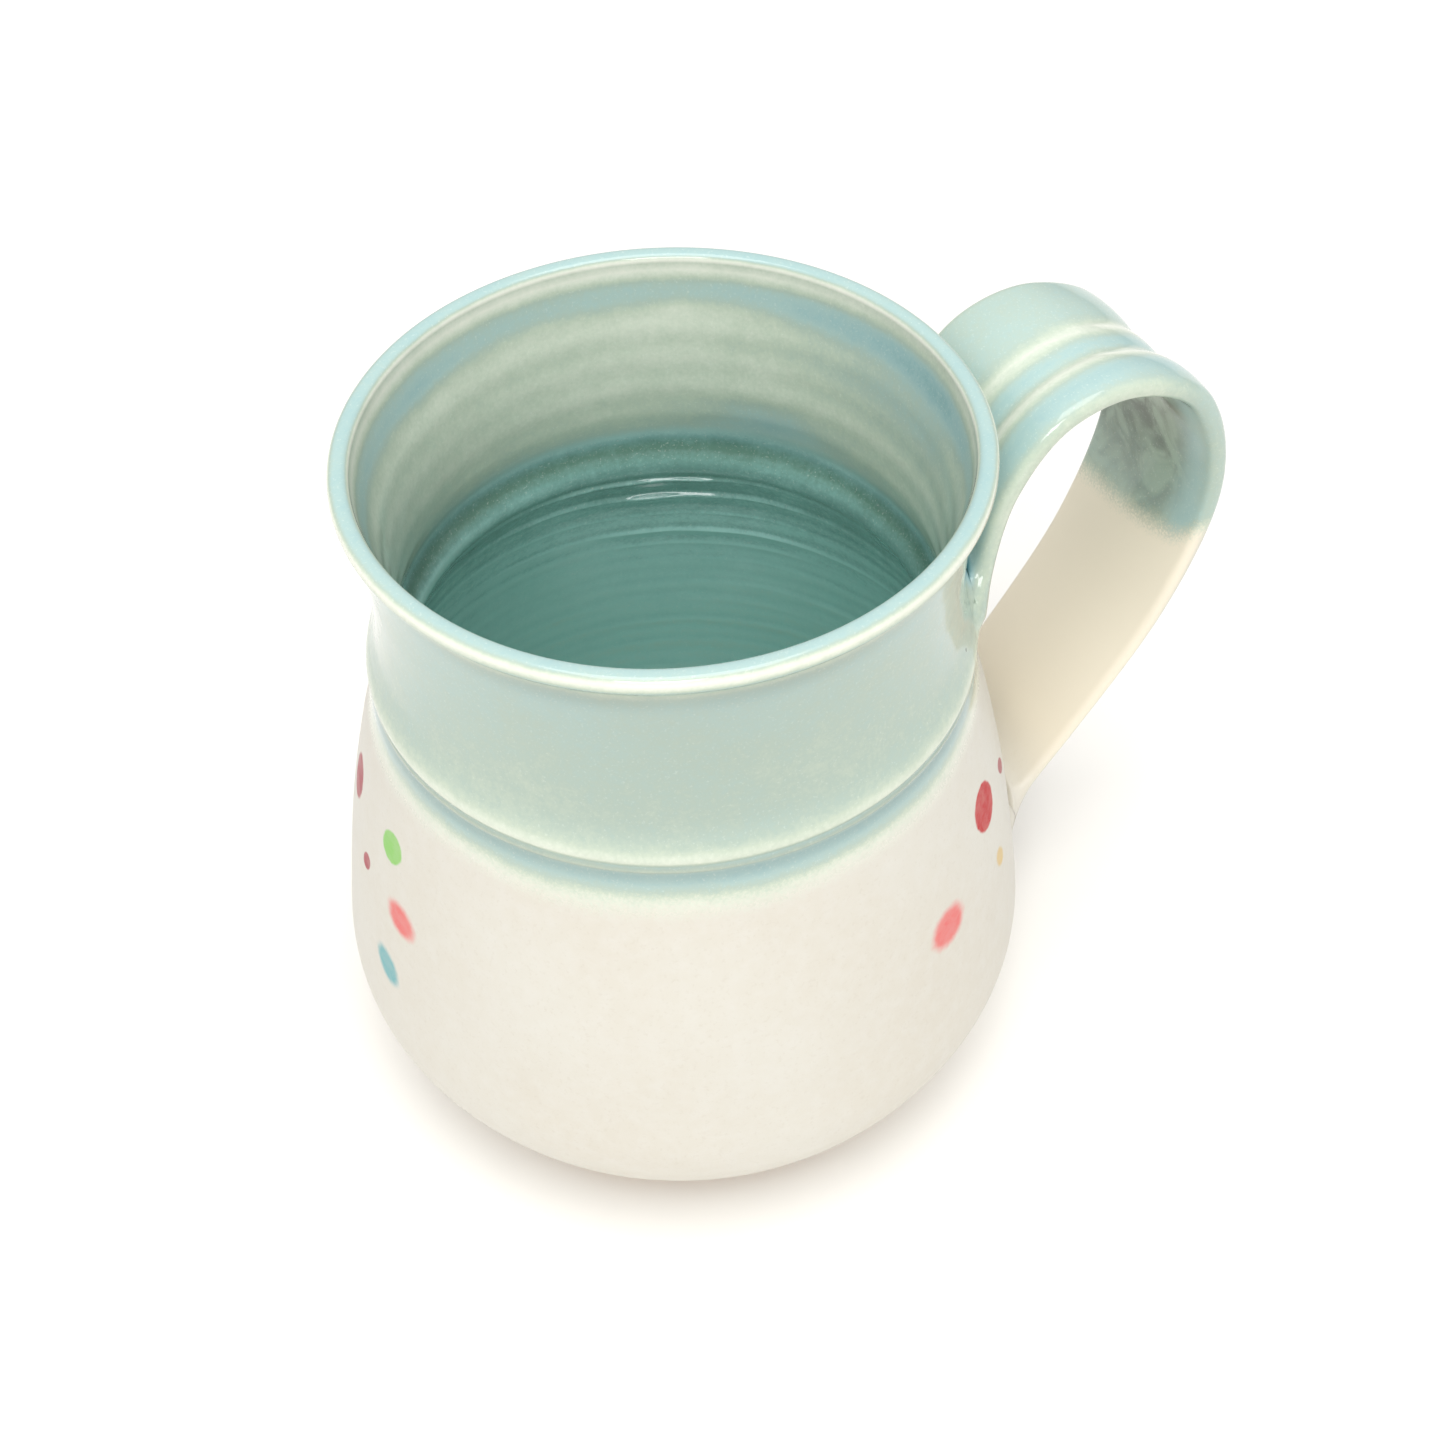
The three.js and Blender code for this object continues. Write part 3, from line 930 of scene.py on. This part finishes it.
def celadon_glaze(graph, place, deep, dust):
    """Celadon by its depth: greener inside the belly, partly as painted bounce light; olive under the strap,
    partly as painted shade; darkened by painted shade where marked; with grains and specks.
    """
    shown = graph.remap(deep, THINNEST, DEEPEST, kind="LINEAR")
    celadon = graph.ramp(shown, CELADON_STOPS)
    # the belly's inside is greener, partly as painted bounce light
    teal = graph.ramp(graph.remap(deep, TEAL_THINNEST, TEAL_DEEPEST, kind="LINEAR"), TEAL_STOPS)
    celadon = graph.mix(graph.attribute("teal"), celadon, teal)
    streak = graph.noise(place, STREAK, 3.0, 0.6, 0.6)
    # olive under the strap's bend: partly pooled glaze, partly painted shade
    olive_and_shade = graph.mix(graph.remap(streak, 0.35, 0.65), colour(66, 76, 54), colour(148, 166, 144))
    celadon = graph.mix(graph.attribute("olive_and_shade"), celadon, olive_and_shade)
    lighter = graph.remap(dust, 0.58, 0.74, 0.0, 0.26)
    celadon = graph.mix(lighter, celadon, colour(226, 234, 224))
    # painted shade: the celadon is darkened where the body marks it as shaded
    shadowed = graph.math("MULTIPLY", graph.attribute("painted_shade"), 0.34)
    celadon = graph.mix(shadowed, celadon, colour(96, 104, 96))
    iron = specks(graph, place, *IRON_SPECKS)
    return graph.mix(graph.math("MULTIPLY", iron, 0.8), celadon, colour(96, 102, 90))


def cream_glaze(graph, place, mottle, grain):
    """Cream that varies a little, with darker grains and a few specks, and warmer and lighter on the strap's
    inner face as painted bounce light.
    """
    cloud = graph.noise(place, CREAM_CLOUD, 3.0, 0.5)
    cream = graph.mix(graph.remap(cloud, 0.3, 0.7), colour(216, 212, 201), colour(213, 207, 194))
    cream = graph.mix(graph.remap(mottle, 0.35, 0.75, 0.0, 0.4), cream, colour(220, 217, 209))
    cream = graph.mix(graph.remap(grain, 0.55, 0.75, 0.0, 0.22), cream, colour(196, 187, 170))
    few_specks = specks(graph, place, *CREAM_SPECKS)
    cream = graph.mix(graph.math("MULTIPLY", few_specks, 0.6), cream, colour(150, 132, 112))
    # painted bounce light: warmer, lighter cream on the strap's inner face
    return graph.mix(graph.attribute("painted_bounce"), cream, colour(242, 232, 212))


def orange_peel(graph, place):
    """The glaze's faint relief, as a normal."""
    fine = graph.noise(place, FINE_PEEL, 3.0, 0.55)
    peel = graph.noise(place, PEEL, 2.0, 0.5)
    relief = graph.math("ADD", graph.math("MULTIPLY", fine, 0.35), peel)
    node = graph.add("ShaderNodeBump")
    node.inputs["Strength"].default_value = RELIEF_STRENGTH
    node.inputs["Distance"].default_value = RELIEF_DISTANCE
    graph.link(relief, node.inputs["Height"])
    return node.outputs[0]


def make_glaze(name, with_dots):
    """Cream stoneware with celadon down to the dip line: glossy, blue where deep and cream where thin."""
    material = bpy.data.materials.new(name)
    graph = Graph(material)
    place = graph.add("ShaderNodeTexCoord").outputs["Object"]
    cloud = graph.noise(place, CLOUD, 3.0, 0.5)
    grain = graph.noise(place, GRAIN, 2.0, 0.6)
    mottle = graph.noise(place, MOTTLE, 4.0, 0.6)
    dust = graph.noise(place, DUST, 2.0, 0.6)

    # the dip line wanders a little and frays into grains
    wandering = graph.math("ADD", graph.attribute("above_dip"), graph.either_side(cloud, DIP_WANDERS))
    line = graph.math("ADD", wandering, graph.either_side(dust, DIP_FRAYS))
    in_celadon = graph.remap(line, -2.3, 2.2)
    thin_at_line = graph.remap(line, -0.5, 3.4, -0.5, 0.0)

    clouded = graph.either_side(cloud, CLOUD_VARIES)
    mottled = graph.math("ADD", clouded, graph.either_side(mottle, MOTTLE_VARIES))
    varied = graph.math("ADD", mottled, graph.either_side(grain, GRAIN_VARIES))
    deep = graph.math("ADD", graph.math("ADD", graph.attribute("glaze"), thin_at_line), varied)
    celadon = celadon_glaze(graph, place, deep, dust)
    cream = cream_glaze(graph, place, mottle, grain)
    painted = 0.0
    if with_dots:
        cream, painted = paint_dots(graph, place, cream)

    bare = graph.attribute("bare")
    clay = graph.mix(graph.remap(grain, 0.3, 0.7), colour(196, 166, 130), colour(170, 136, 100))
    base = graph.mix(bare, graph.mix(in_celadon, cream, celadon), clay)
    rough = graph.mix(in_celadon, CREAM_ROUGHNESS, CELADON_ROUGHNESS, kind="FLOAT")
    rough = graph.mix(bare, rough, CLAY_ROUGHNESS, kind="FLOAT")

    # the cream reflects a little less than the celadon, and the paint on it less again
    on_cream = graph.math("SUBTRACT", 1.0, in_celadon)
    duller = graph.math("MULTIPLY_ADD", painted, PAINT_DULLS, CREAM_DULLS)
    matte = graph.math("MULTIPLY", on_cream, duller)

    shader = graph.add("ShaderNodeBsdfPrincipled")
    graph.link(base, shader.inputs["Base Color"])
    graph.link(rough, shader.inputs["Roughness"])
    graph.link(graph.math("SUBTRACT", GLAZE_SPECULAR, matte), shader.inputs["Specular IOR Level"])
    graph.link(orange_peel(graph, place), shader.inputs["Normal"])
    shader.inputs["IOR"].default_value = GLAZE_IOR
    output = graph.add("ShaderNodeOutputMaterial")
    graph.link(shader.outputs[0], output.inputs["Surface"])
    return material


# ---------------------------------------------------------------- stage
FLOOR_HALF = 3.0
FLOOR_COLOUR = (0.90, 0.88, 0.84, 1)
FLOOR_ROUGHNESS = 0.9
SKY_COLOUR = (0.975, 0.985, 1.0, 1)
SKY_AT_HORIZON, SKY_OVERHEAD = 0.30, 1.0

OVERHEAD_PLACE = (-0.05, -0.15, 1.2)
OVERHEAD_SIZE = (0.8, 0.8)
OVERHEAD_POWER = 7.2

FRONT_TURN = math.radians(-118.0)
FRONT_RISE = math.radians(43.0)
FRONT_DISTANCE = 1.0
FRONT_SIZE = (0.38, 0.30)
FRONT_POWER = 3.1


def make_floor():
    """A wide, pale, matt table top."""
    half = FLOOR_HALF
    mesh = bpy.data.meshes.new("floor")
    corners = [(-half, -half, 0), (half, -half, 0), (half, half, 0), (-half, half, 0)]
    mesh.from_pydata(corners, [], [(0, 1, 2, 3)])
    floor = bpy.data.objects.new("floor", mesh)
    bpy.context.scene.collection.objects.link(floor)
    material = bpy.data.materials.new("floor")
    material.use_nodes = True
    shader = material.node_tree.nodes["Principled BSDF"]
    shader.inputs["Base Color"].default_value = FLOOR_COLOUR
    shader.inputs["Roughness"].default_value = FLOOR_ROUGHNESS
    mesh.materials.append(material)


def area_light(name, place, aim, size, power):
    """A soft rectangular light aimed at a point."""
    data = bpy.data.lights.new(name, "AREA")
    data.shape = "RECTANGLE"
    data.size, data.size_y = size
    data.energy = power
    light = bpy.data.objects.new(name, data)
    bpy.context.scene.collection.objects.link(light)
    light.location = place
    light.rotation_euler = (Vector(aim) - Vector(place)).to_track_quat("-Z", "Y").to_euler()


def make_sky():
    """A pale sky that brightens overhead."""
    world = bpy.data.worlds.new("studio")
    bpy.context.scene.world = world
    world.use_nodes = True
    tree = world.node_tree
    background = tree.nodes["Background"]
    direction = tree.nodes.new("ShaderNodeTexCoord")
    parts = tree.nodes.new("ShaderNodeSeparateXYZ")
    brighten = tree.nodes.new("ShaderNodeMapRange")
    tree.links.new(direction.outputs["Generated"], parts.inputs[0])
    tree.links.new(parts.outputs[2], brighten.inputs["Value"])
    brighten.inputs["To Min"].default_value = SKY_AT_HORIZON
    brighten.inputs["To Max"].default_value = SKY_OVERHEAD
    tree.links.new(brighten.outputs[0], background.inputs["Strength"])
    background.inputs["Color"].default_value = SKY_COLOUR


def make_lights():
    """A soft light overhead and a smaller, lower one behind the camera, both aimed at the mug's middle."""
    middle = (0, 0, body_high.z / 2)
    area_light("overhead", OVERHEAD_PLACE, middle, OVERHEAD_SIZE, OVERHEAD_POWER)
    level = FRONT_DISTANCE * math.cos(FRONT_RISE)
    front = (level * math.cos(FRONT_TURN), level * math.sin(FRONT_TURN),
             FRONT_DISTANCE * math.sin(FRONT_RISE))
    area_light("front", front, middle, FRONT_SIZE, FRONT_POWER)


# ---------------------------------------------------------------- scene
make_camera()
body = make_body()
strap = make_strap()
body.data.materials.append(make_glaze("mug_glaze", True))
strap.data.materials.append(make_glaze("strap_glaze", False))
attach(body, "root")
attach(strap, "root")
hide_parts("thrown_body")
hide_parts("strap_handle", "upper_slip_join", "lower_slip_join")
make_floor()
make_sky()
make_lights()
scene = bpy.context.scene
scene.view_settings.view_transform = "Standard"
scene.view_settings.look = "None"
scene.view_settings.exposure = 0.0
